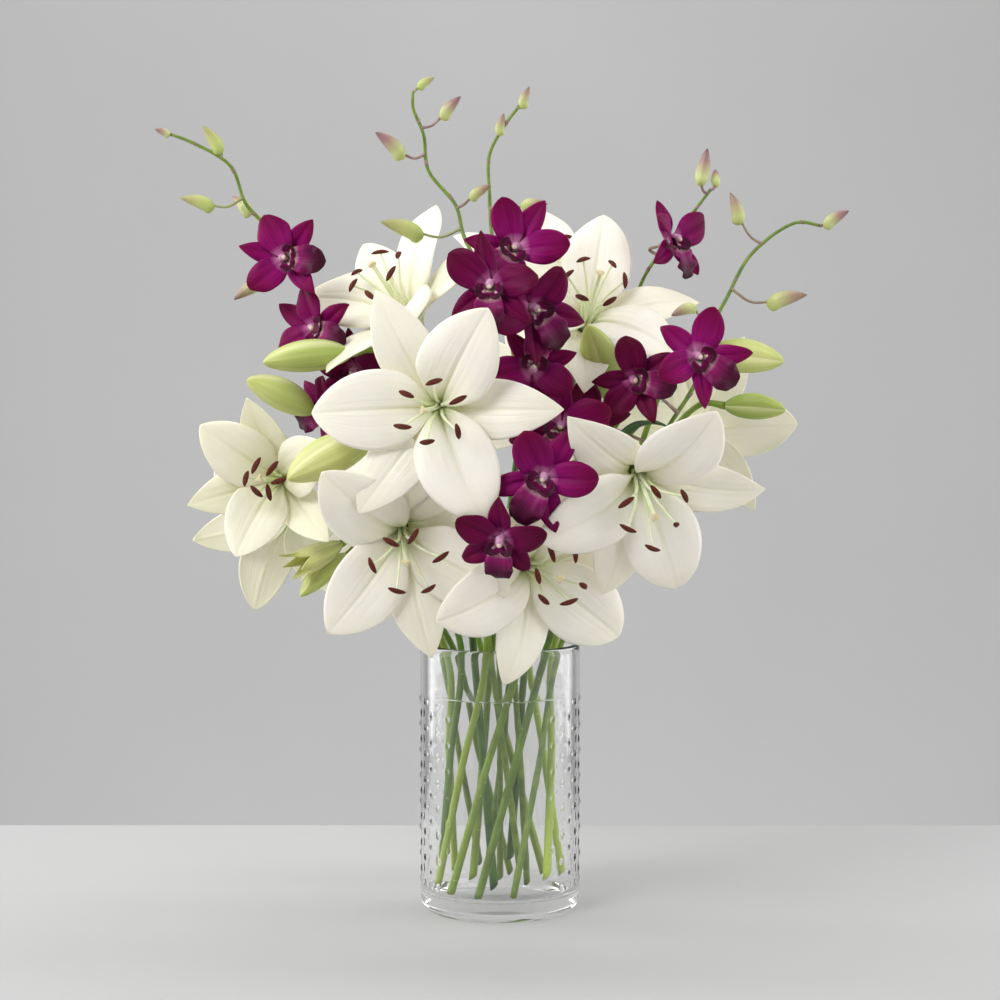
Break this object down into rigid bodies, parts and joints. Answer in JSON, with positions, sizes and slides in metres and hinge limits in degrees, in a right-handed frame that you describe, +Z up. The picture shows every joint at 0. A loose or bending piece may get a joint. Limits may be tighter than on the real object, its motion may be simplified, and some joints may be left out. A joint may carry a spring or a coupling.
{
  "type": "lilies and orchids in a glass vase",
  "caption": "Clear glass cylinder vase part filled with water, holding a loose bunch of open lilies, lily buds and small orchids on long stems.",
  "frame": {"origin": "middle of the vase's flat foot, where it stands", "axes": "+Z up along the vase, -Y towards the front of the bunch, +X to the right seen from the front"},
  "size_m": [0.467, 0.3659, 0.5706],
  "materials": {
    "glass": "clear, pressed with small raised dots",
    "water": "clear still water",
    "lily": "satin cream petal with dark red-brown pollen heads",
    "lily_bud": "smooth waxy yellow-green bud",
    "orchid": "velvety deep magenta petal, paler at the middle",
    "lily_stem": "smooth fresh green stem",
    "orchid_spray": "smooth olive green stem with pale small buds",
    "leaf": "smooth dark green leaf"
  },
  "bodies": {
    "root": {"vase": "glass", "water": "water", "lily_front": "lily", "lily_right": "lily", "lily_low_left": "lily", "lily_low_middle": "lily", "lily_left": "lily", "lily_top_left": "lily", "lily_top_right": "lily", "lily_top_middle": "lily", "lily_back_right": "lily", "lily_back_left": "lily", "lily_back": "lily", "lily_low_back": "lily", "bud_left": "lily_bud", "bud_left_lower": "lily_bud", "bud_left_front": "lily_bud", "bud_low_left": "lily_bud", "bud_low_left_small": "lily_bud", "bud_middle": "lily_bud", "bud_right_upper": "lily_bud", "bud_right_lower": "lily_bud", "orchid_left_1": "orchid", "orchid_left_2": "orchid", "orchid_left_3": "orchid", "orchid_left_4": "orchid", "orchid_top_1": "orchid", "orchid_top_2": "orchid", "orchid_top_3": "orchid", "orchid_top_4": "orchid", "orchid_right_1": "orchid", "orchid_right_2": "orchid", "orchid_right_3": "orchid", "orchid_right_top": "orchid", "orchid_front_1": "orchid", "orchid_front_2": "orchid", "orchid_front_3": "orchid", "stem_lily_front": "lily_stem", "stem_lily_right": "lily_stem", "stem_lily_low_left": "lily_stem", "stem_lily_low_middle": "lily_stem", "stem_lily_left": "lily_stem", "stem_lily_top_left": "lily_stem", "stem_lily_top_right": "lily_stem", "stem_lily_top_middle": "lily_stem", "stem_lily_back_right": "lily_stem", "stem_lily_back_left": "lily_stem", "stem_lily_back": "lily_stem", "stem_lily_low_back": "lily_stem", "spray_left": "orchid_spray", "spray_top_left": "orchid_spray", "spray_top": "orchid_spray", "spray_right_top": "orchid_spray", "spray_right": "orchid_spray", "spray_front": "orchid_spray", "leaf_front": "leaf", "leaf_right": "leaf", "leaf_back_left": "leaf", "leaf_back_right": "leaf"}
  },
  "joints": []
}
